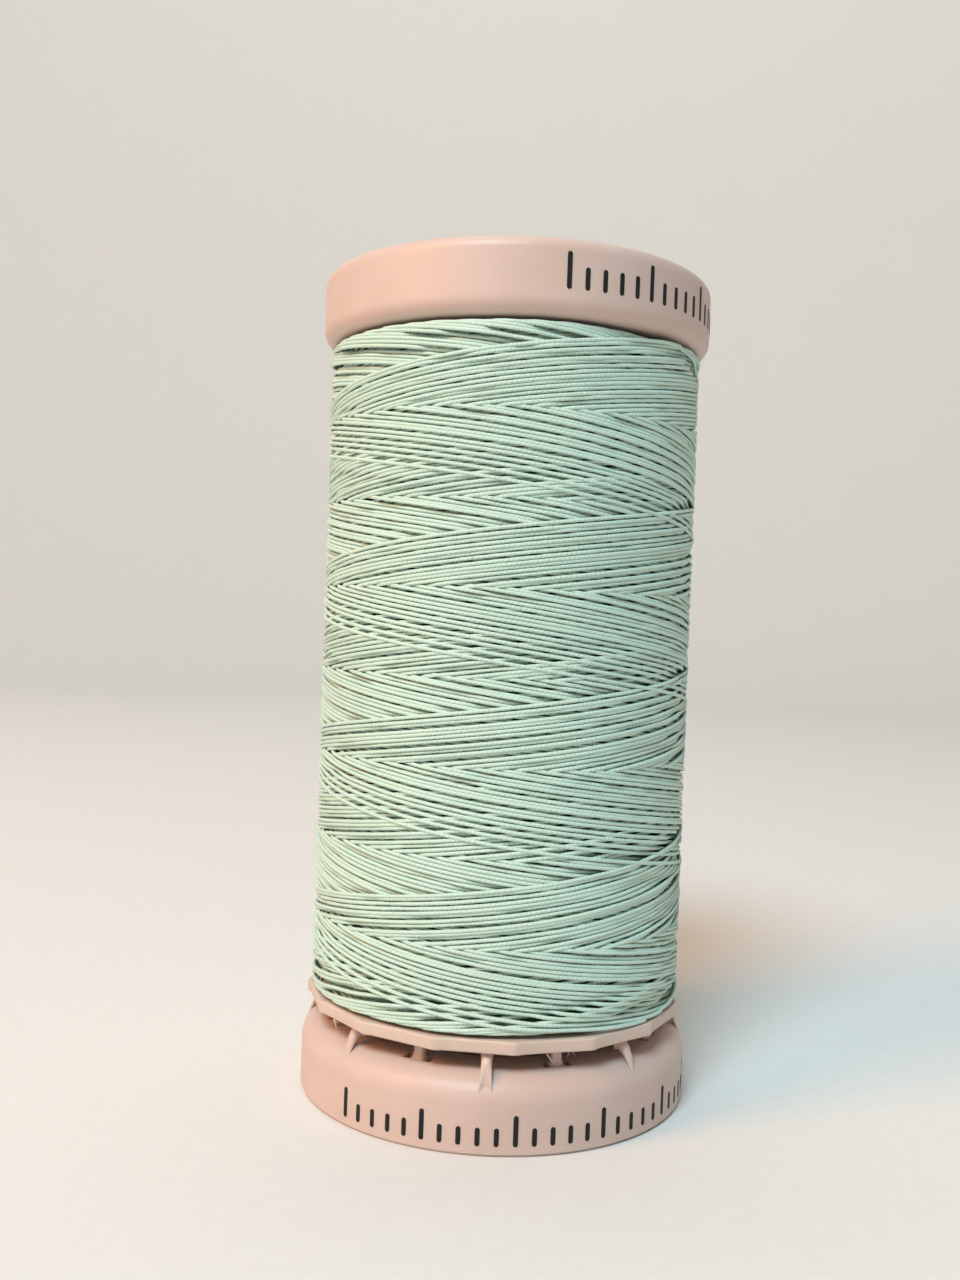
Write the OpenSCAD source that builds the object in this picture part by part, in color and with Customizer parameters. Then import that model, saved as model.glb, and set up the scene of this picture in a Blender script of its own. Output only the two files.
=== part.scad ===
// Spool of sewing thread with a pop-open lock ring at its base.
// The spool stands on its base: +Z runs along the spool, and the origin is the centre of the base face.
// The lock ring is drawn open. It slides up by lock_travel to pinch the thread's end against the flange.

/* [Spool] */
// Outside diameter of the top cap and of the lock ring
spool_d = 26; // [24:0.5:34]
// Length of the wound thread, from the flange to the top cap
pack_len = 42.8; // [30:0.05:70]
// How far the wound thread lies inside the rims of the cap and the ring
pack_inset = 0.53; // [0.3:0.01:1.2]
// Radius of the rounded ends of the wound thread
pack_round_r = 0.7; // [0.2:0.1:1.5]

/* [Core] */
// Outside diameter of the barrel that the thread is wound on
barrel_d = 15.6; // [13:0.1:19]
// Wall of the barrel
barrel_wall = 1.1; // [0.8:0.05:1.5]
// Diameter of the bore that takes a machine's spool pin
pin_bore_d = 7; // [5:0.1:8.4]
// Wall of the spindle sleeve around that bore
sleeve_wall = 0.9; // [0.6:0.05:1.1]
// Number of ribs between the sleeve and the barrel
rib_count = 4; // [3:1:6]
// Thickness of a rib
rib_t = 0.8; // [0.5:0.05:1.2]
// Distance from each end of the sleeve to the ribs
rib_end_gap = 1.2; // [0.4:0.1:3]

/* [Thread flange] */
// Number of sides of the flange under the thread
flange_sides = 16; // [13:1:24]
// Turn of the flange's first corner from the front
flange_turn = 5.5; // [-11:0.1:11]
// How far the flange's corners lie inside the rim
flange_inset = 0.28; // [0.1:0.02:0.8]
// Thickness of the flange
flange_t = 0.8; // [0.6:0.05:1.4]
// Thickness of the round retaining flange inside the top cap
retainer_t = 1; // [0.7:0.05:1.3]

/* [Lock ring] */
// Height of the ring's straight wall
ring_wall_h = 3.05; // [2.4:0.05:4.5]
// Radius of the ring's rounded shoulder
shoulder_r = 1.65; // [1.4:0.05:2.3]
// Wall of the lock ring
ring_wall = 1.1; // [0.7:0.05:1.3]
// Gap between the barrel and the mouth of the ring's flat lip
mouth_gap = 1.55; // [1.5:0.05:2.5]
// Thickness of the ring's base plate
base_t = 1; // [0.8:0.05:1.5]
// Depth of the shallow recess under the base plate
foot_recess = 0.35; // [0.1:0.05:0.5]
// Chamfer at the foot of the ring
foot_chamfer = 0.2; // [0.1:0.05:0.4]
// Height of the collar that slides on the barrel
collar_h = 2.6; // [1.8:0.1:3]
// Wall of that collar
collar_wall = 0.9; // [0.6:0.05:1.2]
// Clearance between the barrel and the collar
guide_clear = 0.25; // [0.15:0.01:0.4]
// Gap between the open ring and the flange
lock_gap = 1.2; // [0.8:0.05:1.6]
// Gap that is left when the ring is closed
lock_clear = 0.1; // [0.05:0.01:0.3]

/* [Webs] */
// Number of long webs, and of short webs
web_count = 8; // [4:1:8]
// Turn of the first long web from the front
web_turn = -2.3; // [-10:0.1:10]
// Width of a long web
fin_w = 0.8; // [0.5:0.05:1.2]
// Thickness of a long web where it leaves the flange
fin_t = 0.7; // [0.3:0.02:0.9]
// How far inside the flange's corners a long web leaves the flange
fin_inset = 0.75; // [0.3:0.05:0.9]
// Height of a long web's root above the straight wall
fin_root_h = 0.3; // [0.1:0.05:0.6]
// Width of a short web
strut_w = 0.75; // [0.4:0.05:1.2]
// Depth of a short web, along the radius
strut_t = 0.6; // [0.3:0.05:0.7]
// How far inside the crest of the shoulder a short web stands
strut_inset = 0.5; // [0.4:0.05:0.7]
// Width of each pocket beside a short web
pocket_w = 0.5; // [0.3:0.05:0.9]
// Length of each pocket, along the radius
pocket_len = 1; // [0.7:0.05:1.2]
// Depth of each pocket
pocket_h = 0.6; // [0.2:0.05:0.7]
// Clearance between a web and the ring that it meets
web_clear = 0.05; // [0.03:0.01:0.1]

/* [Top cap] */
// Height of the top cap
cap_h = 4.6; // [4:0.1:7]
// Wall of the top cap
cap_wall = 1; // [0.8:0.05:1.3]
// Width of the flat lip at the mouth of the cap
cap_lip_w = 0.8; // [0.5:0.05:1]
// Thickness of the cap's top plate, from the floor of its recess
cap_plate_t = 1.2; // [0.9:0.05:1.5]
// Depth of the recess in the cap's top face
cap_recess = 0.5; // [0.2:0.05:0.8]
// Width of the flat rim around the recess
cap_rim_w = 1.3; // [0.9:0.05:2]
// Rounding of the cap's top edge
cap_top_r = 0.8; // [0.4:0.05:1]
// Rounding of the cap's lower edge
cap_low_r = 1.05; // [0.8:0.05:1.6]
// Width of the raised hub around the bore
hub_w = 1.8; // [1:0.1:2.4]
// Chamfer at the mouth of the bore
bore_chamfer = 0.4; // [0.2:0.05:0.6]
// Wall of the socket that holds the end of the barrel
socket_wall = 1; // [0.7:0.05:1.2]
// Clearance between the cap and the retaining flange
seat_clear = 0.08; // [0.05:0.01:0.15]

/* [Hidden] */
$fn = 96;
FINS = [for (i = [1 : web_count]) str("lock_fin_", i)];
STRUTS = [for (i = [1 : web_count]) str("lock_strut_", i)];

PLASTIC = [0.93, 0.78, 0.70];
CORE_PLASTIC = [0.91, 0.76, 0.68];
WEB_PLASTIC = [0.95, 0.80, 0.72];
THREAD = [0.68, 0.86, 0.77];
// Points along each quarter of a rounded edge
ARC_STEPS = 16;
// Overrun of a cutting shape past the face that it cuts
CUT = 0.1;

spool_r = spool_d / 2;
pack_r = spool_r - pack_inset;
barrel_r = barrel_d / 2;
barrel_bore_r = barrel_r - barrel_wall;
pin_r = pin_bore_d / 2;
sleeve_r = pin_r + sleeve_wall;
flange_r = spool_r - flange_inset;

ring_top = ring_wall_h + shoulder_r;
lock_travel = lock_gap - lock_clear;
shoulder_centre_r = spool_r - shoulder_r;
collar_r = barrel_r + guide_clear;
mouth_r = barrel_r + mouth_gap;

flange_z = ring_top + lock_gap;
pack_z = flange_z + flange_t;
cap_z = pack_z + pack_len;
top_z = cap_z + cap_h;
core_low_z = lock_travel;
core_top_z = top_z - cap_recess - cap_plate_t;

cap_mouth_r = spool_r - cap_low_r - cap_lip_w;
retainer_r = cap_mouth_r - seat_clear;
web_pitch = 360 / web_count;
strut_turn = web_turn + web_pitch / 2;
strut_r = shoulder_centre_r - strut_inset;
fin_top_r = flange_r - fin_inset;

// Points of an arc about [cx, cy], from angle a to angle b
function arc(cx, cy, r, a, b, steps = ARC_STEPS) =
    [for (i = [0 : steps]) let (t = a + (b - a) * i / steps) [cx + r * cos(t), cy + r * sin(t)]];

// Turns a piece so that its +X side faces an angle measured from the front of the spool (-Y)
module at_angle(a) {
    rotate([0, 0, a - 90]) children();
}

// A tube between two heights
module tube(outer_r, inner_r, low_z, high_z) {
    rotate_extrude() translate([inner_r, low_z]) square([outer_r - inner_r, high_z - low_z]);
}

// The tube that the thread is wound on
module barrel() {
    color(CORE_PLASTIC) tube(barrel_r, barrel_bore_r, core_low_z, core_top_z);
}

// The sleeve that runs on a spool pin, with the ribs that carry it inside the barrel
module spindle_core() {
    rib_low_z = core_low_z + rib_end_gap;
    rib_h = core_top_z - rib_end_gap - rib_low_z;
    color(CORE_PLASTIC) difference() {
        union() {
            tube(sleeve_r, pin_r, core_low_z, core_top_z);
            intersection() {
                translate([0, 0, rib_low_z]) cylinder(r = barrel_bore_r, h = rib_h);
                for (i = [0 : rib_count - 1])
                    rotate([0, 0, i * 360 / rib_count + 360 / rib_count / 2])
                        translate([pin_r + sleeve_wall / 2, -rib_t / 2, rib_low_z])
                            cube([barrel_r, rib_t, rib_h]);
            }
        }
        translate([0, 0, core_low_z - CUT])
            cylinder(r1 = pin_r + bore_chamfer + CUT, r2 = pin_r, h = bore_chamfer + CUT);
    }
}

// The many-sided plate that the thread rests on and that the ring closes against
module thread_flange() {
    color(CORE_PLASTIC) difference() {
        translate([0, 0, flange_z]) linear_extrude(flange_t)
            polygon([for (i = [0 : flange_sides - 1])
                let (a = flange_turn - 90 + i * 360 / flange_sides) flange_r * [cos(a), sin(a)]]);
        translate([0, 0, flange_z - CUT]) cylinder(r = barrel_r, h = flange_t + 2 * CUT);
    }
}

// The round plate at the top of the thread, which the cap's mouth closes around
module retaining_flange() {
    color(CORE_PLASTIC) tube(retainer_r, barrel_r, cap_z, cap_z + retainer_t);
}

// The wound thread as one plain solid
module thread_pack() {
    r = pack_round_r;
    color(THREAD) rotate_extrude() polygon(concat(
        [[barrel_r, pack_z]],
        arc(pack_r - r, pack_z + r, r, -90, 0),
        arc(pack_r - r, cap_z - r, r, 0, 90),
        [[barrel_r, cap_z]]));
}

// Half section of the top cap: a cup that opens downwards, with a socket for the barrel
module cap_section() {
    plate_z = core_top_z;
    floor_z = top_z - cap_recess;
    inner_low_r = max(cap_low_r - cap_wall, 0.05);
    wall_r = spool_r - cap_wall;
    rim_r = spool_r - cap_rim_w - cap_top_r / 2;
    hub_r = pin_r + hub_w;
    polygon(concat(
        [[cap_mouth_r, cap_z]],
        arc(spool_r - cap_low_r, cap_z + cap_low_r, cap_low_r, -90, 0),
        arc(spool_r - cap_top_r, top_z - cap_top_r, cap_top_r, 0, 90),
        [[rim_r, top_z], [rim_r - cap_recess / 2, floor_z], [hub_r + cap_recess / 2, floor_z],
         [hub_r, floor_z + cap_recess / 2], [pin_r + bore_chamfer, floor_z + cap_recess / 2],
         [pin_r, floor_z + cap_recess / 2 - bore_chamfer], [pin_r, plate_z], [barrel_r, plate_z],
         [barrel_r, cap_z + retainer_t], [barrel_r + socket_wall, cap_z + retainer_t],
         [barrel_r + socket_wall, plate_z], [wall_r, plate_z]],
        arc(wall_r - inner_low_r, cap_z + cap_wall + inner_low_r, inner_low_r, 0, -90),
        [[cap_mouth_r, cap_z + cap_wall]]));
}

// The cap that is pressed over the top of the barrel
module top_cap() {
    color(PLASTIC) rotate_extrude() cap_section();
}

// Half section of the lock ring: wall, rounded shoulder and lip, base plate and guide collar
module ring_section() {
    inner_r = max(shoulder_r - ring_wall, 0.05);
    wall_r = shoulder_centre_r + inner_r;
    recess_out_r = spool_r - ring_wall - foot_chamfer;
    recess_in_r = collar_r + collar_wall;
    polygon(concat(
        [[collar_r, 0], [recess_in_r, 0], [recess_in_r + foot_recess, foot_recess],
         [recess_out_r - foot_recess, foot_recess], [recess_out_r, 0],
         [spool_r - foot_chamfer, 0], [spool_r, foot_chamfer]],
        arc(shoulder_centre_r, ring_wall_h, shoulder_r, 0, 90),
        [[mouth_r, ring_top], [mouth_r, ring_top - ring_wall]],
        arc(shoulder_centre_r, ring_wall_h, inner_r, 90, 0),
        [[wall_r, base_t + foot_recess], [collar_r + collar_wall, base_t + foot_recess],
         [collar_r + collar_wall, collar_h], [collar_r, collar_h]]));
}

// The ring that pops open at the base, with a pocket on each side of every short web
module lock_ring() {
    offset_y = strut_w / 2 + web_clear;
    color(PLASTIC) difference() {
        rotate_extrude() ring_section();
        for (i = [0 : web_count - 1])
            at_angle(strut_turn + i * web_pitch)
                for (y = [offset_y, -offset_y - pocket_w])
                    translate([strut_r - pocket_len / 2, y, ring_top - pocket_h])
                        cube([pocket_len, pocket_w, pocket_h + CUT]);
    }
}

// Half section of a long web: it leaves the flange, bows out over the shoulder and thins to its root
module fin_section() {
    low_z = ring_wall_h + fin_root_h;
    high_a = acos((fin_top_r - shoulder_centre_r) / shoulder_r);
    rise = (flange_z - low_z) / sin(high_a);
    inner_r = fin_top_r - fin_t;
    difference() {
        polygon(concat(
            [for (i = [0 : ARC_STEPS]) let (a = high_a * i / ARC_STEPS)
                [shoulder_centre_r + shoulder_r * cos(a), low_z + rise * sin(a)]],
            [[inner_r, flange_z], [inner_r, ring_wall_h]]));
        translate([shoulder_centre_r, ring_wall_h]) circle(r = shoulder_r + web_clear);
    }
}

// A long flexible web between the flange and the outside of the ring
module lock_fin(i) {
    color(WEB_PLASTIC) at_angle(web_turn + i * web_pitch)
        rotate([90, 0, 0]) translate([0, 0, -fin_w / 2]) linear_extrude(fin_w) fin_section();
}

// A short flexible web between the flange and the lip of the ring
module lock_strut(i) {
    low_z = ring_top + web_clear;
    color(WEB_PLASTIC) at_angle(strut_turn + i * web_pitch)
        translate([strut_r - strut_t / 2, -strut_w / 2, low_z]) cube([strut_t, strut_w, flange_z - low_z]);
}

barrel();
spindle_core();
thread_flange();
retaining_flange();
thread_pack();
top_cap();
lock_ring();
for (i = [0 : web_count - 1]) lock_fin(i);
for (i = [0 : web_count - 1]) lock_strut(i);
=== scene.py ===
"""A spool of cross-wound thread on a moulded plastic core, and the studio around it."""
import math

import bpy
import numpy as np
from mathutils import Euler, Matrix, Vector


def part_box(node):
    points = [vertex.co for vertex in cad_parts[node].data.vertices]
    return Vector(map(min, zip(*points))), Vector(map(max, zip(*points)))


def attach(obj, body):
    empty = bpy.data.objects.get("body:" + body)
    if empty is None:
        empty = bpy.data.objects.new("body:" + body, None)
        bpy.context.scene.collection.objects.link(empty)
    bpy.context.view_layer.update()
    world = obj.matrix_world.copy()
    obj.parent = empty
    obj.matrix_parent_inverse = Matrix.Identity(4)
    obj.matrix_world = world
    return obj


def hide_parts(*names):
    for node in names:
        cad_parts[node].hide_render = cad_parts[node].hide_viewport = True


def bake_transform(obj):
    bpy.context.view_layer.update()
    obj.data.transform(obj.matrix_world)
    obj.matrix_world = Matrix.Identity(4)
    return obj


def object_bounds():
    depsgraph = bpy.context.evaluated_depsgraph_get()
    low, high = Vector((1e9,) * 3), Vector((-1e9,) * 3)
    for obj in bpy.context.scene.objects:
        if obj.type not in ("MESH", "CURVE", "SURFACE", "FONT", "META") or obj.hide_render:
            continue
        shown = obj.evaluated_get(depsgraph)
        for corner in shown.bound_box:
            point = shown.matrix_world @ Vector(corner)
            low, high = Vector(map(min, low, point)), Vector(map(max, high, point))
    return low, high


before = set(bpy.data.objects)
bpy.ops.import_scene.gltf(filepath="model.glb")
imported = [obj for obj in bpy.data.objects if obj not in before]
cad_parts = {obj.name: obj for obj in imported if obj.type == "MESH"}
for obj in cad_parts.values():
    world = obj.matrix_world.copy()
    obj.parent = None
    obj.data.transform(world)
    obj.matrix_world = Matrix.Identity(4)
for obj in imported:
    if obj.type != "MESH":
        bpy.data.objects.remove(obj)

cad_low, cad_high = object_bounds()

MM = 0.001
TURN = 2 * math.pi

# The bodies of the frame
SPOOL_BODY = "spool_body"
BASE_RING = "base_ring"

# ---- sizes that follow the frame ----
PACK_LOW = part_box("thread_pack")[0].z
PACK_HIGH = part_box("thread_pack")[1].z
PACK_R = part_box("thread_pack")[1].x
BARREL_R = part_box("barrel")[1].x
RIM_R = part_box("top_cap")[1].x
CAP_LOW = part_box("top_cap")[0].z
FLANGE_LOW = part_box("thread_flange")[0].z
FLANGE_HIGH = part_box("thread_flange")[1].z
RING_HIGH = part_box("lock_ring")[1].z

# ---- the ring's shoulder, as the CAD has it ----
SHOULDER_R = 1.65 * MM
SHOULDER_Z = RING_HIGH - SHOULDER_R
SHOULDER_CENTRE_R = RIM_R - SHOULDER_R

# ---- the thread and how it is wound ----
THREAD_D = 0.25 * MM
THREAD_FLATNESS = 0.86
TURNS_PER_STROKE = 4
TRAVERSES_PER_CYCLE = 40
SETTLING_TRAVERSES = 38
END_BEND = 0.35 * MM
END_OVERRUN = 0.12 * MM
FRONT_HEIGHT = 37.1 * MM
# How far the newest falling turn has run ahead of even spacing, and over how many traverses that fades
FRONT_SPREAD = 0.75 * MM
FRONT_FADE = 3.0
PACK_ROUND_R = 0.25 * MM
# The length of the thread in which its plies turn once, in mm
PLY_LENGTH_MM = 0.32
THREAD_SIDES = 6
THREAD_PIECES = 6
THREAD_SEED = 4
# How unevenly each stroke is laid, and over how many strokes the mean is taken off again
LAY_JITTER = 0.03 * MM
JITTER_WINDOW = 9
# How far from the ends of the pack the unevenness has faded in
EDGE_FADE = 1.5 * MM
# The height field that the thread is laid on: columns round the spool, and the height of a row
FIELD_COLUMNS = 262
FIELD_CELL = 0.03 * MM
# The running mean that finds the slow relief, in columns and in rows
RELIEF_COLUMNS = 13
RELIEF_ROWS = 45
# The edges of the bands of height that are brought level, and the percentile that counts as a band's top
LEVEL_EDGES = 110
LEVEL_PERCENTILE = 85
# The share that is taken off any rise above this percentile
PROUD_PERCENTILE = 75
PROUD_SHARE = 0.75
# The percentile of the thread that lies at the pack's radius
OUTSIDE_PERCENTILE = 97


# ---------------------------------------------------------------- meshes

def link(mesh, name, material):
    piece = bpy.data.objects.new(name, mesh)
    bpy.context.scene.collection.objects.link(piece)
    mesh.materials.append(material)
    return piece


def quad_mesh(name, points, quads, caps=()):
    """A smooth mesh from points and four-cornered faces, with a few end faces of any size."""
    mesh = bpy.data.meshes.new(name)
    loops = np.concatenate([np.asarray(quads).ravel()] + [np.asarray(cap) for cap in caps]).astype(np.int32)
    cap_sizes = np.array([len(cap) for cap in caps], int)
    sizes = np.concatenate([np.full(len(quads), 4), cap_sizes]).astype(np.int32)
    starts = np.concatenate([[0], np.cumsum(sizes)[:-1]]).astype(np.int32)
    mesh.vertices.add(len(points))
    mesh.vertices.foreach_set("co", np.asarray(points, np.float32).ravel())
    mesh.loops.add(len(loops))
    mesh.loops.foreach_set("vertex_index", loops)
    mesh.polygons.add(len(sizes))
    mesh.polygons.foreach_set("loop_start", starts)
    mesh.polygons.foreach_set("loop_total", sizes)
    mesh.polygons.foreach_set("use_smooth", np.ones(len(sizes), bool))
    mesh.update(calc_edges=True)
    mesh.validate()
    return mesh


def grid_quads(rows, columns, wrap_columns=True, wrap_rows=False):
    """Faces of a grid of points, row after row."""
    last_row = rows if wrap_rows else rows - 1
    last_column = columns if wrap_columns else columns - 1
    i, j = np.meshgrid(np.arange(last_row), np.arange(last_column), indexing="ij")
    next_i, next_j = (i + 1) % rows, (j + 1) % columns
    corners = [i * columns + j, i * columns + next_j, next_i * columns + next_j, next_i * columns + j]
    return np.stack([c.ravel() for c in corners], axis=1)


def loft(name, rings, closed_path=False):
    """A tube skinned over rings of points (ring, point, xyz), with flat ends."""
    rows, columns = rings.shape[:2]
    quads = grid_quads(rows, columns, wrap_rows=closed_path)
    caps = [] if closed_path else [np.arange(columns)[::-1], np.arange(columns) + (rows - 1) * columns]
    return quad_mesh(name, rings.reshape(-1, 3), quads, caps)


def around(radius, angle, height):
    """Points at a radius and an angle from the front of the spool (-Y), turning towards +X."""
    return np.stack(np.broadcast_arrays(radius * np.sin(angle), -radius * np.cos(angle), height), axis=-1)


def facing(node):
    """The angle from the front at which a CAD node lies."""
    low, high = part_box(node)
    middle = (low + high) / 2
    return math.atan2(middle.x, -middle.y)


# ---------------------------------------------------------------- materials

class Nodes:
    """Short calls for building a node tree."""

    def __init__(self, name):
        self.material = bpy.data.materials.new(name)
        self.material.use_nodes = True
        self.tree = self.material.node_tree
        self.shader = self.tree.nodes["Principled BSDF"]

    def add(self, kind, inputs=None, **settings):
        node = self.tree.nodes.new(kind)
        for key, value in settings.items():
            setattr(node, key, value)
        for key, value in (inputs or {}).items():
            self.put(node.inputs[key], value)
        return node

    def put(self, socket, value):
        if isinstance(value, bpy.types.NodeSocket):
            self.tree.links.new(value, socket)
        else:
            socket.default_value = value

    def math(self, operation, a, b=0.0, c=0.0):
        return self.add("ShaderNodeMath", {0: a, 1: b, 2: c}, operation=operation).outputs[0]

    def spread(self, value, low, high, to_low=0.0, to_high=1.0):
        return self.add("ShaderNodeMapRange", {0: value, 1: low, 2: high, 3: to_low, 4: to_high}).outputs[0]

    def noise(self, scale, detail=3.0, roughness=0.5, where=None):
        node = self.add("ShaderNodeTexNoise", {"Scale": scale, "Detail": detail, "Roughness": roughness})
        self.put(node.inputs["Vector"], where or self.object_place())
        return node.outputs["Fac"]

    def object_place(self):
        return self.add("ShaderNodeTexCoord").outputs["Object"]

    def stretched(self, upright):
        """Places for a pattern that is squeezed in height, so that it runs round the spool."""
        mapping = self.add("ShaderNodeMapping", {"Vector": self.object_place(), "Scale": (1.0, 1.0, upright)})
        return mapping.outputs[0]

    def mix(self, factor, a, b):
        node = self.add("ShaderNodeMix", data_type="RGBA")
        self.put(node.inputs[0], factor)
        self.put(node.inputs[6], a)
        self.put(node.inputs[7], b)
        return node.outputs[2]

    def bump(self, height, distance, strength=1.0, under=None):
        node = self.add("ShaderNodeBump", {"Height": height, "Distance": distance, "Strength": strength})
        if under is not None:
            self.put(node.inputs["Normal"], under)
        return node.outputs["Normal"]

    def set(self, **sockets):
        for key, value in sockets.items():
            self.put(self.shader.inputs[key.replace("_", " ")], value)


def rgba(red, green, blue):
    return (red, green, blue, 1.0)


def plastic_material(name, colour, worn_colour, speck_amount):
    """Satin moulded plastic, slightly translucent: a faint mottle, handling marks and a few dark specks."""
    n = Nodes(name)
    mottle = n.noise(260.0, 4.0)
    grain = n.noise(5200.0, 2.0)
    scuff = n.noise(900.0, 5.0, 0.65, n.stretched(7.0))
    cells = n.add("ShaderNodeTexVoronoi", {"Vector": n.object_place(), "Scale": 420.0, "Randomness": 1.0})
    picked = n.math("GREATER_THAN", n.add("ShaderNodeSeparateColor", {0: cells.outputs["Color"]}).outputs[0],
                    1.0 - speck_amount)
    near = n.math("LESS_THAN", cells.outputs["Distance"], 0.032)
    speck = n.math("MULTIPLY", picked, near)
    body = n.mix(n.spread(mottle, 0.35, 0.7), rgba(*colour), rgba(*worn_colour))
    n.set(Base_Color=n.mix(n.math("MULTIPLY", speck, 0.75), body, rgba(0.09, 0.045, 0.03)))
    n.set(Roughness=n.spread(scuff, 0.3, 0.75, 0.36, 0.52))
    n.set(Normal=n.bump(grain, 0.004 * MM, 0.6, n.bump(mottle, 0.03 * MM, 0.5)))
    n.set(Subsurface_Weight=0.18, Subsurface_Radius=(1.0, 0.55, 0.4), Subsurface_Scale=1.2 * MM)
    n.set(Specular_IOR_Level=0.45)
    return n.material


def thread_material(name, colour, shade_colour):
    """Twisted cotton thread: three plies that wind round the thread with painted shade in the grooves between
    them, loose fibres and an uneven dye.
    """
    n = Nodes(name)
    lay = n.add("ShaderNodeAttribute", attribute_name="thread_lay")
    parts = n.add("ShaderNodeSeparateXYZ", {0: lay.outputs["Vector"]})
    turn = n.math("ARCTAN2", parts.outputs["Y"], parts.outputs["X"])
    phase = n.math("ADD", n.math("MULTIPLY", parts.outputs["Z"], TURN / PLY_LENGTH_MM), turn)
    groove = n.math("ABSOLUTE", n.math("SINE", n.math("MULTIPLY", phase, 0.5)))
    fibre = n.noise(9000.0, 3.0, 0.7, n.stretched(3.0))
    dye = n.noise(140.0, 3.0)
    tone = n.mix(n.spread(dye, 0.3, 0.72), rgba(*colour), rgba(*[c * 0.93 for c in colour]))
    # painted shade: the grooves between the plies are darkened up to 30 percent towards shade_colour
    lit = n.mix(n.math("MULTIPLY", n.spread(groove, 0.35, 0.0), 0.3), tone, rgba(*shade_colour))
    bright = rgba(*[min(c * 1.35, 0.9) for c in colour])
    n.set(Base_Color=n.mix(n.spread(fibre, 0.62, 0.8, 0.0, 0.35), lit, bright))
    n.set(Normal=n.bump(groove, 0.03 * MM, 0.55, n.bump(fibre, 0.012 * MM, 0.5)))
    n.set(Roughness=0.62, Sheen_Weight=0.1, Sheen_Roughness=0.5, Specular_IOR_Level=0.35)
    n.set(Subsurface_Weight=0.06, Subsurface_Radius=(0.8, 1.0, 0.9), Subsurface_Scale=0.1 * MM)
    return n.material


def underlay_material(name, colour):
    """The thread under the outer layers, seen only through the gaps between them, with painted shade: its
    colour is darkened to the shade in the gaps.
    """
    n = Nodes(name)
    strands = n.noise(220.0, 2.0, 0.5, n.stretched(14.0))
    n.set(Base_Color=n.mix(n.spread(strands, 0.35, 0.65), rgba(*colour), rgba(*[c * 0.5 for c in colour])))
    n.set(Normal=n.bump(strands, 0.1 * MM, 0.8), Roughness=0.8)
    return n.material


def ink_material(name):
    """Matt printing ink, a little thin in places."""
    n = Nodes(name)
    cover = n.noise(2600.0, 4.0, 0.6)
    n.set(Base_Color=n.mix(n.spread(cover, 0.5, 0.75), rgba(0.008, 0.008, 0.009), rgba(0.022, 0.02, 0.02)))
    n.set(Roughness=n.spread(cover, 0.3, 0.7, 0.5, 0.75), Normal=n.bump(cover, 0.006 * MM, 0.5))
    n.set(Specular_IOR_Level=0.3)
    return n.material


def studio_material(name, colour):
    """Matt pale paper with the faintest tooth."""
    n = Nodes(name)
    tooth = n.noise(900.0, 3.0)
    n.set(Base_Color=n.mix(n.spread(tooth, 0.4, 0.6), rgba(*colour), rgba(*[c * 0.985 for c in colour])))
    n.set(Roughness=0.9, Specular_IOR_Level=0.2, Normal=n.bump(tooth, 0.02 * MM, 0.3))
    return n.material


RIM_PLASTIC = plastic_material("rim_plastic", (0.60, 0.455, 0.405), (0.57, 0.43, 0.375), 0.12)
CORE_PLASTIC = plastic_material("core_plastic", (0.60, 0.475, 0.41), (0.57, 0.45, 0.38), 0.01)
# the last colour is the painted shade in the grooves between the plies
THREAD = thread_material("aqua_thread", (0.555, 0.725, 0.632), (0.19, 0.37, 0.29))
# painted shade: the thread beneath is coloured far darker than the thread itself, to stand for the shade in
# the gaps
UNDER_THREAD = underlay_material("thread_underlay_painted_shade", (0.04, 0.12, 0.09))
INK = ink_material("printing_ink")
PAPER = studio_material("studio_paper", (0.74, 0.73, 0.72))


# ---------------------------------------------------------------- thread

def pack_profile(height):
    """How far the wound surface falls away at its two rounded ends."""
    edge = np.minimum(height - PACK_LOW, PACK_HIGH - height)
    inside = np.clip(PACK_ROUND_R - edge, 0, PACK_ROUND_R)
    return PACK_ROUND_R - np.sqrt(np.maximum(PACK_ROUND_R**2 - inside**2, 0))


class Winding:
    """Lays one thread round and round on a height field, so that each new turn rests on what is under it."""

    def __init__(self):
        self.columns = FIELD_COLUMNS
        self.cell = FIELD_CELL
        self.rows = int(round((PACK_HIGH - PACK_LOW) / self.cell)) + 1
        heights = PACK_LOW + np.arange(self.rows) * self.cell
        self.field = np.tile(-pack_profile(heights), (self.columns, 1))
        reach = int(math.ceil(THREAD_D / 2 / self.cell))
        self.offsets = np.arange(-reach, reach + 1)
        across = np.clip(1 - (self.offsets * self.cell / (THREAD_D / 2)) ** 2, 0, 1)
        self.section = np.where(across > 0, np.sqrt(across) * THREAD_D / 2 * THREAD_FLATNESS, -1.0)

    def lay(self, first_column, heights):
        """Lays a run with one height for each column from first_column on, and returns how high it lies."""
        columns = (first_column + np.arange(len(heights))) % self.columns
        rows = np.rint((heights - PACK_LOW) / self.cell).astype(int)
        cells = np.clip(rows[:, None] + self.offsets, 0, self.rows - 1)
        under = self.field[columns[:, None], cells]
        rest = (under + self.section).max(axis=1)
        padded = np.pad(rest, 2, mode="edge")
        rest = np.max([padded[k:k + len(rest)] for k in range(5)], axis=0) * 0.5 + rest * 0.5
        weights = np.array([1, 3, 5, 6, 5, 3, 1], float)
        padded = np.pad(rest, 3, mode="edge")
        rest = sum(w * padded[k:k + len(rest)] for k, w in enumerate(weights)) / weights.sum()
        surface = rest[:, None] + self.section
        np.maximum.at(self.field, (columns[:, None], cells), surface)
        return rest


def box_mean(values, width, wrap):
    """The running mean of each column of an array over an odd number of rows."""
    half = width // 2
    padded = np.pad(values, ((half + 1, half), (0, 0)), mode="wrap" if wrap else "edge")
    total = np.cumsum(padded, axis=0)
    return (total[width:] - total[:-width]) / width


def slow_relief(field):
    """The slow rise and fall of the wound surface, which the thread's own tension evens out."""
    relief = field
    for _ in range(2):
        relief = box_mean(relief, RELIEF_COLUMNS, True)
        relief = box_mean(relief.T, RELIEF_ROWS, False).T
    return relief - np.median(relief)


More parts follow.
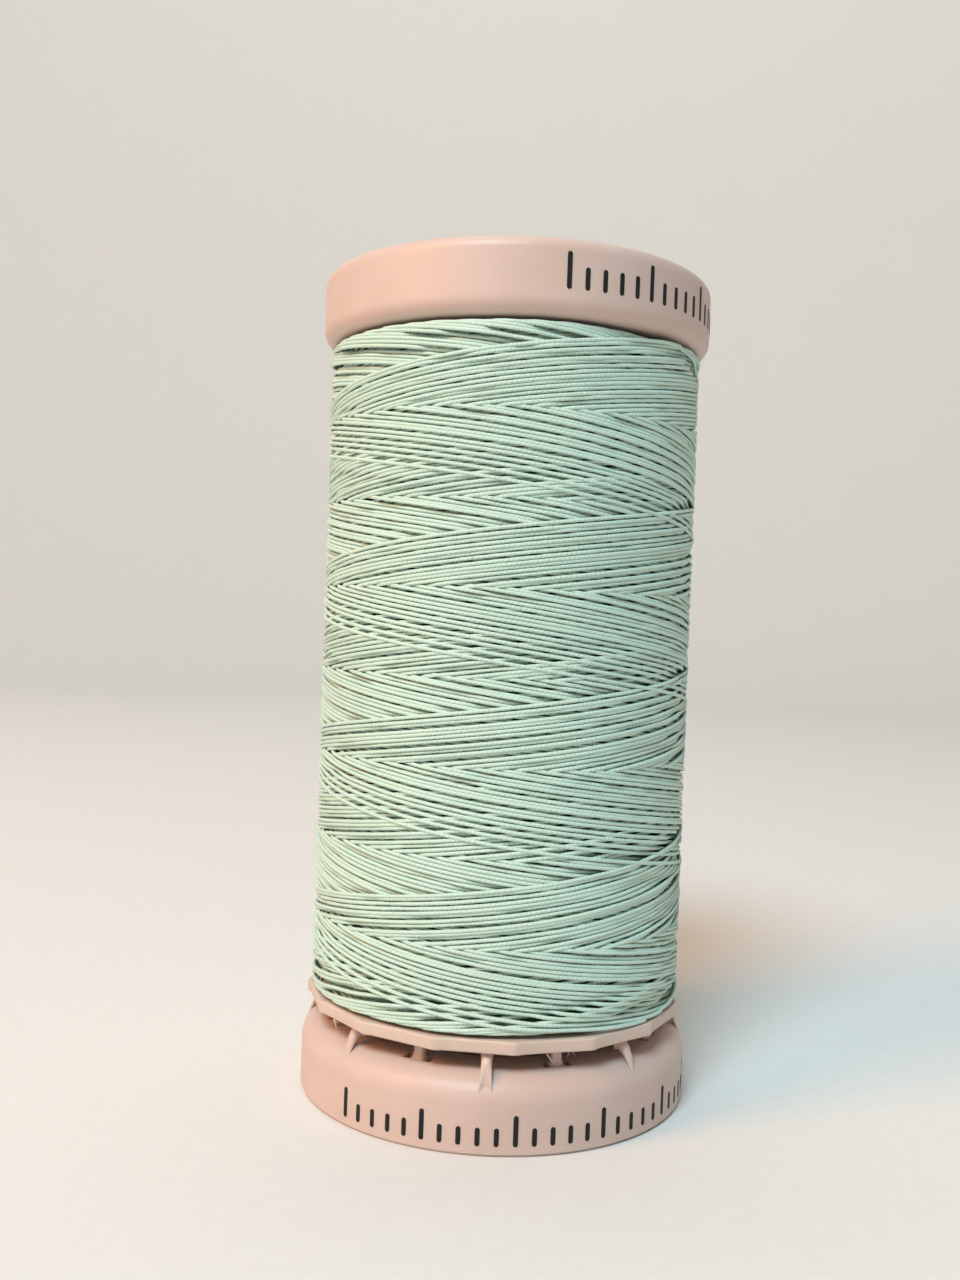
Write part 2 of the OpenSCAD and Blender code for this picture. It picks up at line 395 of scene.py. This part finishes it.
def level_rings(heights, rises):
    """The middle height of each band, and how far its top stands above the median band's."""
    edges = np.linspace(PACK_LOW, PACK_HIGH, LEVEL_EDGES)
    places = np.clip(np.digitize(heights, edges), 1, len(edges) - 1)
    tops = np.array([np.percentile(rises[places == k], LEVEL_PERCENTILE) for k in range(1, len(edges))])
    return (edges[1:] + edges[:-1]) / 2, tops - np.median(tops)


def wobble(random, turns):
    """A slow, small wander along a run, for a thread that isn't laid perfectly evenly."""
    total = np.zeros_like(turns)
    for waves_per_turn, size in ((0.31, 0.030), (0.83, 0.022), (2.1, 0.012)):
        total += size * MM * np.sin(TURN * (turns * waves_per_turn + random.random()))
    return total


def thread_path(random, turns, phase, lowest, span, total):
    """The height of each point: even traverses, bent round at the pack's ends, laid a little unevenly."""
    bent = np.hypot((0.5 - np.abs(phase % 1 - 0.5)) * span, END_BEND)
    rising = np.floor(phase).astype(int) % 2 == 0
    early = phase % 1 < 0.5
    from_low = np.where(rising == early, bent, span - bent)
    jitter = np.cumsum(random.normal(0, LAY_JITTER, 2 * total + 2))
    padded = np.pad(jitter, JITTER_WINDOW // 2, mode="edge")
    jitter -= np.convolve(padded, np.ones(JITTER_WINDOW) / JITTER_WINDOW, mode="valid")
    knots = np.arange(len(jitter))
    edge_fade = np.clip(np.minimum(from_low, span - from_low) / EDGE_FADE, 0, 1)
    heights = lowest + from_low
    heights = heights + edge_fade * (np.interp(phase, knots + 0.5, jitter) + wobble(random, turns))
    age = total - phase / 2
    heights = heights - ~rising * edge_fade * FRONT_SPREAD * np.exp(-age / FRONT_FADE)
    return np.clip(heights, PACK_LOW + THREAD_D / 2, PACK_HIGH - THREAD_D / 2)


def evened(winding, lifts, heights, columns, kept):
    """The lifts with the slow relief, the level of each band and much of what stands proud taken off."""
    profile = pack_profile(PACK_LOW + np.arange(winding.rows) * winding.cell)
    relief = slow_relief(winding.field + profile)
    rows = np.rint((heights - PACK_LOW) / winding.cell).astype(int)
    lifts = lifts - relief[columns, rows]
    rises = lifts + pack_profile(heights)
    lifts = lifts - np.interp(heights, *level_rings(heights[kept], rises[kept]))
    rises = lifts + pack_profile(heights)
    proud = np.clip(rises - np.percentile(rises[kept], PROUD_PERCENTILE), 0, None)
    return lifts - PROUD_SHARE * proud


def wind_thread():
    """The last turns as one run: angles, heights and radii, and the radius that the lifts start from."""
    random = np.random.default_rng(THREAD_SEED)
    winding = Winding()
    span = PACK_HIGH - PACK_LOW + 2 * END_OVERRUN - THREAD_D
    stroke_turns = TURNS_PER_STROKE - 0.5 / TRAVERSES_PER_CYCLE
    rise_per_turn = span / stroke_turns
    total = SETTLING_TRAVERSES + TRAVERSES_PER_CYCLE
    lowest = (PACK_LOW + PACK_HIGH) / 2 - span / 2
    start = -(FRONT_HEIGHT - lowest) / rise_per_turn - (total - 1) * 2 * stroke_turns
    step = 1.0 / winding.columns
    count = int(round(total * 2 * stroke_turns / step))
    first = int(round(start / step))
    turns = (first + np.arange(count)) * step
    phase = (turns - start) / stroke_turns
    heights = thread_path(random, turns, phase, lowest, span, total)
    stroke = np.floor(phase).astype(int)
    lifts = np.empty(count)
    for k in range(2 * total):
        chosen = np.nonzero(stroke == k)[0]
        if len(chosen):
            lifts[chosen] = winding.lay(first + chosen[0], heights[chosen])
    kept = phase >= 2 * SETTLING_TRAVERSES
    columns = (first + np.arange(count)) % winding.columns
    lifts = evened(winding, lifts, heights, columns, kept)
    top = np.percentile(lifts[kept], OUTSIDE_PERCENTILE) + THREAD_D / 2 * THREAD_FLATNESS
    return turns[kept] * TURN, heights[kept], PACK_R - top + lifts[kept], PACK_R - top


def thread_tube(name, angles, heights, radii, along):
    """One stretch of thread as a tube. An attribute keeps the place on its surface, for the twist."""
    centres = around(radii, angles, heights)
    tangents = np.gradient(centres, axis=0)
    tangents /= np.linalg.norm(tangents, axis=1, keepdims=True)
    outward = around(np.ones_like(radii), angles, np.zeros_like(radii))
    sideways = np.cross(tangents, outward)
    sideways /= np.linalg.norm(sideways, axis=1, keepdims=True)
    outward = np.cross(sideways, tangents)
    turn = np.arange(THREAD_SIDES) * TURN / THREAD_SIDES
    ring = outward[:, None] * np.cos(turn)[:, None] * (1 + THREAD_FLATNESS) / 2
    ring = ring + sideways[:, None] * np.sin(turn)[:, None]
    mesh = loft(name, centres[:, None] + ring * THREAD_D / 2)
    lay = np.empty((len(centres), THREAD_SIDES, 3), np.float32)
    lay[..., 0], lay[..., 1], lay[..., 2] = np.cos(turn), np.sin(turn), along[:, None] / MM
    mesh.attributes.new("thread_lay", "FLOAT_VECTOR", "POINT").data.foreach_set("vector", lay.ravel())
    return link(mesh, name, THREAD)


def make_thread():
    angles, heights, radii, base_r = wind_thread()
    steps = np.hypot(np.diff(angles) * PACK_R, np.diff(heights))
    along = np.concatenate([[0], np.cumsum(steps)])
    edges = np.linspace(0, len(angles) - 1, THREAD_PIECES + 1).astype(int)
    for k in range(THREAD_PIECES):
        part = slice(edges[k], edges[k + 1] + 1)
        name = f"thread_winding_{k + 1}"
        piece = thread_tube(name, angles[part], heights[part], radii[part], along[part])
        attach(piece, SPOOL_BODY)
    make_underlay(base_r)


def make_underlay(base_r):
    """The thread beneath the wound turns: a closed sleeve on the barrel, with painted shade, coloured dark as
    the shade in the gaps.
    """
    heights = np.linspace(PACK_LOW, PACK_HIGH, 180)
    outer = base_r - pack_profile(heights) + THREAD_D * 0.6
    outer = np.minimum(outer, PACK_R - THREAD_D * 1.2)
    section = np.concatenate([np.stack([outer, heights], axis=1),
                              [[BARREL_R, PACK_HIGH], [BARREL_R, PACK_LOW]]])
    turn = np.arange(240) * TURN / 240
    rings = around(section[None, ::-1, 0], turn[:, None], section[None, ::-1, 1])
    piece = link(loft("thread_underlay", rings, closed_path=True), "thread_underlay", UNDER_THREAD)
    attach(piece, SPOOL_BODY)
    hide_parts("thread_pack")


# ---------------------------------------------------------------- plastic

def finish_cad_plastic():
    rims = ("top_cap", "lock_ring")
    for name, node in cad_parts.items():
        if name != "thread_pack":
            node.data.materials[0] = RIM_PLASTIC if name in rims else CORE_PLASTIC


# ---- the flexible webs between the flange and the ring ----
WEB_WIDTH = 0.66 * MM
WEB_THICKNESS = 0.85 * MM
STRUT_DEPTH = 0.55 * MM
# How far inside the rim a long web leaves the flange
WEB_INSET = 1.5 * MM
# Each long web in mm: how high above the ring's straight wall it runs out, and the width of its foot there
WEB_SHAPES = ((0.25, 0.88), (0.72, 0.1), (0.5, 0.9), (0.9, 0.2),
              (0.4, 0.85), (0.8, 0.12), (0.55, 0.9), (1.05, 0.5))
# How deep a web runs into the flange and into the ring
WEB_ROOT = 0.12 * MM
# The flange's corners, and the small step beside each of them
FLANGE_SIDES = 16
FLANGE_TURN = math.radians(5.5)
FLANGE_STEP = 0.11 * MM
FLANGE_EDGE = 0.14 * MM


def blend_web(piece):
    """Bakes the placement of a web or a hair of flash into its mesh."""
    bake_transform(piece)


def bezier(points, run):
    """Places along a cubic curve."""
    run = run[:, None]
    weights = ((1 - run) ** 3, 3 * run * (1 - run) ** 2, 3 * run**2 * (1 - run), run**3)
    return sum(weight * np.array(point) for weight, point in zip(weights, points))


def web_spine(reach, run):
    """The line of a long web's outer face, as radius and height, from under the flange on to the shoulder."""
    slope = math.asin(reach / SHOULDER_R)
    root = np.array([SHOULDER_CENTRE_R + SHOULDER_R * math.cos(slope), SHOULDER_Z + reach])
    top = np.array([RIM_R - WEB_INSET, FLANGE_LOW])
    up = np.array([-math.sin(slope), math.cos(slope)])
    arm = 0.35 * MM + 0.95 * MM * (1 - reach / SHOULDER_R)
    leave = top + 0.85 * MM * np.array([1.0, -0.25])
    return bezier((top, leave, root + arm * up, root), run)


def make_long_web(node, name, reach, foot):
    """A web that bows out over the ring's shoulder and runs out on it, split in two or to a tip."""
    angle = facing(node)
    rows, columns = 44, 28
    run = np.linspace(0, 1, rows)
    spine = web_spine(reach, run)
    along = np.gradient(spine, axis=0)
    along /= np.linalg.norm(along, axis=1, keepdims=True)
    out_r, out_z = -along[:, 1], along[:, 0]
    split = foot > WEB_WIDTH
    taper_from = 0.4 if split else 0.2
    taper = np.clip((run - taper_from) / (1 - taper_from), 0, 1) ** 1.3
    width = WEB_WIDTH * (1 + 0.2 * np.clip(1 - run / 0.2, 0, 1) ** 2) + (foot - WEB_WIDTH) * taper
    thick = WEB_THICKNESS * (1 - run) ** 1.2 + 0.1 * MM
    proud = 0.06 * MM - 0.1 * MM * np.clip((run - 0.6) / 0.4, 0, 1) ** 2
    hollow = 0.26 * MM * taper**0.4 * split
    turn = np.arange(columns) * TURN / columns
    side = np.sign(np.cos(turn)) * np.abs(np.cos(turn)) ** 0.75
    crown = np.sign(np.sin(turn)) * np.abs(np.sin(turn)) ** 0.85
    depth = proud[:, None] + thick[:, None] * (crown - 1) / 2
    depth = depth - hollow[:, None] * (1 - side**2) * np.clip(crown, 0, 1)
    depth = depth - 0.05 * MM * split * taper[:, None] * np.clip(side, 0, 1)
    radius = spine[:, :1] + out_r[:, None] * depth
    height = spine[:, 1:] + out_z[:, None] * depth
    height = np.where(run[:, None] < 0.02, FLANGE_LOW + WEB_ROOT, height)
    points = around(radius, angle + width[:, None] / 2 * side / radius, height)
    piece = link(loft(name, points), name, RIM_PLASTIC)
    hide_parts(node)
    blend_web(piece)


def make_short_web(node, name):
    """A short post between the flange and the lip of the ring, flared at both ends."""
    angle = facing(node)
    low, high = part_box(node)
    middle_r = math.hypot((low.x + high.x) / 2, (low.y + high.y) / 2)
    rows, columns = 18, 20
    heights = np.linspace(RING_HIGH - 0.45 * MM, FLANGE_LOW + WEB_ROOT, rows)
    to_end = np.minimum(heights - RING_HIGH, FLANGE_LOW - heights) / MM
    spread = 1 + 0.5 * np.exp(-np.clip(to_end, 0, None) * 7)
    turn = np.arange(columns) * TURN / columns
    side = np.sign(np.cos(turn)) * np.abs(np.cos(turn)) ** 0.6 * WEB_WIDTH / 2
    depth = np.sign(np.sin(turn)) * np.abs(np.sin(turn)) ** 0.6 * STRUT_DEPTH / 2
    radius = middle_r + spread[:, None] * depth
    points = around(radius, angle + spread[:, None] * side / radius, heights[:, None])
    piece = link(loft(name, points[::-1]), name, RIM_PLASTIC)
    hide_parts(node)
    blend_web(piece)


# Each hair of flash: its angle from the front in degrees, radius and length in mm, and lean in degrees
FLASH_HAIRS = ((-54.5, 12.45, 0.5, 1.6), (14.5, 12.2, 0.75, 2.6), (23.6, 11.5, 0.65, 1.6),
               (24.2, 11.4, 0.7, -1.4), (118.0, 12.4, 0.5, 1.5), (-143.0, 12.3, 0.6, -2.0))


def make_flash():
    """Thin hairs of flash that the mould left between the webs, hanging from the edge of the flange."""
    run = np.linspace(0, 1, 9)
    turn = np.arange(6) * TURN / 6
    for k, (degrees, radius_mm, length_mm, lean) in enumerate(FLASH_HAIRS):
        thick = 0.045 * MM * (1 - run) ** 0.6 + 0.008 * MM
        heights = FLANGE_LOW + 0.05 * MM - run * length_mm * MM
        angles = math.radians(degrees) + math.radians(lean) * run**1.3
        radius = radius_mm * MM + thick[:, None] * np.sin(turn)
        points = around(radius, angles[:, None] + thick[:, None] * np.cos(turn) / radius, heights[:, None])
        name = f"flash_hair_{k + 1}"
        blend_web(link(loft(name, points), name, CORE_PLASTIC))


def make_webs():
    for k, node in enumerate(sorted(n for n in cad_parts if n.startswith("lock_fin_"))):
        reach, foot = WEB_SHAPES[k]
        make_long_web(node, node.replace("lock_fin", "long_web"), reach * MM, foot * MM)
    for node in sorted(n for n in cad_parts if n.startswith("lock_strut_")):
        make_short_web(node, node.replace("lock_strut", "short_web"))


def flange_outline():
    """The angle and radius of each point of the flange's outline, with a small step just past each corner."""
    corner_r = max(point.co.to_2d().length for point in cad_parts["thread_flange"].data.vertices)
    side = TURN / FLANGE_SIDES
    outline = []
    for k in range(FLANGE_SIDES):
        corner = FLANGE_TURN + k * side
        beyond = corner + math.radians(2.2)
        flat_r = corner_r * math.cos(side / 2) / math.cos(side / 2 - math.radians(2.2))
        outline.append((corner - math.radians(0.7), corner_r - 0.02 * MM))
        outline.append((corner + math.radians(0.5), corner_r - 0.03 * MM))
        outline.append((beyond, flat_r - FLANGE_STEP))
        for part in (0.3, 0.5, 0.7, 0.9):
            angle = part * side
            chord_r = corner_r * math.cos(side / 2) / math.cos(angle - side / 2)
            sag = FLANGE_STEP * (1 - part) + 0.03 * MM * math.sin(math.pi * part)
            outline.append((corner + angle, chord_r - sag))
    return np.array([angle for angle, _ in outline]), np.array([radius for _, radius in outline])


def make_flange():
    """The many-sided thread flange, with softened edges."""
    angles, radii = flange_outline()
    bend = np.linspace(0, math.pi / 2, 6)
    inset = np.concatenate([FLANGE_EDGE * (1 - np.sin(bend)), FLANGE_EDGE * (1 - np.cos(bend))])
    heights = np.concatenate([FLANGE_LOW + FLANGE_EDGE * (1 - np.cos(bend)),
                              FLANGE_HIGH - FLANGE_EDGE * (1 - np.sin(bend))])
    rows = [around(radii - i, angles, h) for i, h in zip(inset, heights)]
    rows.append(around(np.full_like(radii, BARREL_R), angles, FLANGE_HIGH))
    rows.append(around(np.full_like(radii, BARREL_R), angles, FLANGE_LOW))
    points = np.array(rows)
    mesh = quad_mesh("flange_rim", points.reshape(-1, 3), grid_quads(len(rows), len(radii), wrap_rows=True))
    piece = link(mesh, "flange_rim", CORE_PLASTIC)
    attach(piece, SPOOL_BODY)
    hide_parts("thread_flange")


# ---------------------------------------------------------------- print

PRINT_PROUD = 0.018 * MM
PRINT_SUNK = 0.03 * MM
PRINT_STROKE = 0.3 * MM


def printed_stroke(angle, low_z, high_z, width):
    """The outline of an upright stroke with round ends on a wall: pairs of angle and height."""
    half = width / 2
    upper = [(half * math.cos(a), high_z - half + half * math.sin(a)) for a in np.linspace(0, math.pi, 9)]
    lower = [(half * math.cos(a), low_z + half + half * math.sin(a)) for a in np.linspace(math.pi, TURN, 9)]
    return [(angle + across / RIM_R, height) for across, height in upper + lower]


def print_on_wall(name, outlines, body):
    """Raises each outline a hair above the wall of a rim, as one piece of dried ink."""
    points, quads, caps = [], [], []
    for outline in outlines:
        first, count = len(points), len(outline)
        for radius in (RIM_R - PRINT_SUNK, RIM_R + PRINT_PROUD):
            points += [around(radius, angle, height) for angle, height in outline]
        quads += [[first + k, first + (k + 1) % count, first + count + (k + 1) % count, first + count + k]
                  for k in range(count)]
        caps += [[first + k for k in range(count)][::-1], [first + count + k for k in range(count)]]
    piece = link(quad_mesh(name, np.array(points), np.array(quads), caps), name, INK)
    piece.data.polygons.foreach_set("use_smooth", [False] * len(piece.data.polygons))
    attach(piece, body)


def tick_row(first_deg, last_deg, count, low_z, tall, short, every):
    """A plain measuring scale: upright ticks, with a tall one at regular steps."""
    outlines = []
    for k, degrees in enumerate(np.linspace(first_deg, last_deg, count)):
        height = tall if k % every == 0 else short
        outlines.append(printed_stroke(math.radians(degrees), low_z, low_z + height, PRINT_STROKE))
    return outlines


def make_print():
    print_on_wall("base_scale", tick_row(-44, 106, 31, 0.65 * MM, 1.85 * MM, 1.1 * MM, 5), BASE_RING)
    print_on_wall("cap_scale", tick_row(12, 97, 18, CAP_LOW + 1.5 * MM, 2.2 * MM, 1.35 * MM, 5), SPOOL_BODY)


# ---------------------------------------------------------------- studio

def make_studio():
    """A round paper bowl: a flat floor that curves up into a wall all round."""
    floor_r, wall_r, wall_top = 0.42, 0.72, 0.75
    bend = np.linspace(0, math.pi / 2, 24)
    bend_r = wall_r - floor_r
    section = [[0.001, 0.0], [0.1, 0.0], [0.25, 0.0]]
    section += [[floor_r + bend_r * math.sin(a), bend_r * (1 - math.cos(a))] for a in bend]
    section += [[wall_r, wall_top]]
    section = np.array(section)
    turn = np.arange(96) * TURN / 96
    points = around(section[:, None, 0], turn[None, :], section[:, None, 1])
    mesh = quad_mesh("studio_floor", points.reshape(-1, 3), grid_quads(len(section), 96), [np.arange(96)])
    floor = link(mesh, "studio_floor", PAPER)


def area_light(name, place, target, size, power, colour):
    data = bpy.data.lights.new(name, "AREA")
    data.shape = "DISK"
    data.size = size
    data.energy = power
    data.color = colour
    lamp = bpy.data.objects.new(name, data)
    lamp.location = place
    lamp.rotation_euler = (Vector(target) - Vector(place)).to_track_quat("-Z", "Y").to_euler()
    bpy.context.scene.collection.objects.link(lamp)


def make_lights():
    middle = (0, 0, (cad_low.z + cad_high.z) / 2)
    area_light("key", (-0.43, -0.24, 0.34), middle, 0.24, 2.0, (1.0, 0.41, 0.085))
    area_light("front", (-0.15, -0.38, 0.50), middle, 0.24, 3.35, (0.68, 0.905, 1.0))
    area_light("backdrop", (0.0, 0.20, 0.70), (0.0, 0.72, 0.20), 0.5, 1.9, (0.97, 1.0, 0.93))
    world = bpy.data.worlds.new("studio")
    world.use_nodes = True
    world.node_tree.nodes["Background"].inputs["Color"].default_value = (0.80, 0.95, 1.0, 1.0)
    world.node_tree.nodes["Background"].inputs["Strength"].default_value = 0.055
    bpy.context.scene.world = world
    bpy.context.scene.view_settings.view_transform = "Standard"


CAMERA_PLACE = (-1.765 * MM, -85.12 * MM, 31.61 * MM)
CAMERA_LENS = 34.8
CAMERA_DOWN = math.radians(0.98)
CAMERA_ROLL = math.radians(2.03)


def make_camera():
    """The camera stands a little above the middle of the spool and close to it, slightly rolled."""
    data = bpy.data.cameras.new("camera")
    data.sensor_width = 36.0
    data.lens = CAMERA_LENS
    data.clip_start = 0.005
    data.clip_end = 5.0
    camera = bpy.data.objects.new("camera", data)
    camera.location = CAMERA_PLACE
    look = Euler((math.radians(90) - CAMERA_DOWN, 0, 0)).to_matrix()
    roll = Euler((0, 0, CAMERA_ROLL)).to_matrix()
    camera.rotation_euler = (look @ roll).to_euler()
    bpy.context.scene.collection.objects.link(camera)
    bpy.context.scene.camera = camera


make_camera()
make_studio()
make_lights()
finish_cad_plastic()
make_thread()
make_flange()
make_webs()
make_flash()
make_print()
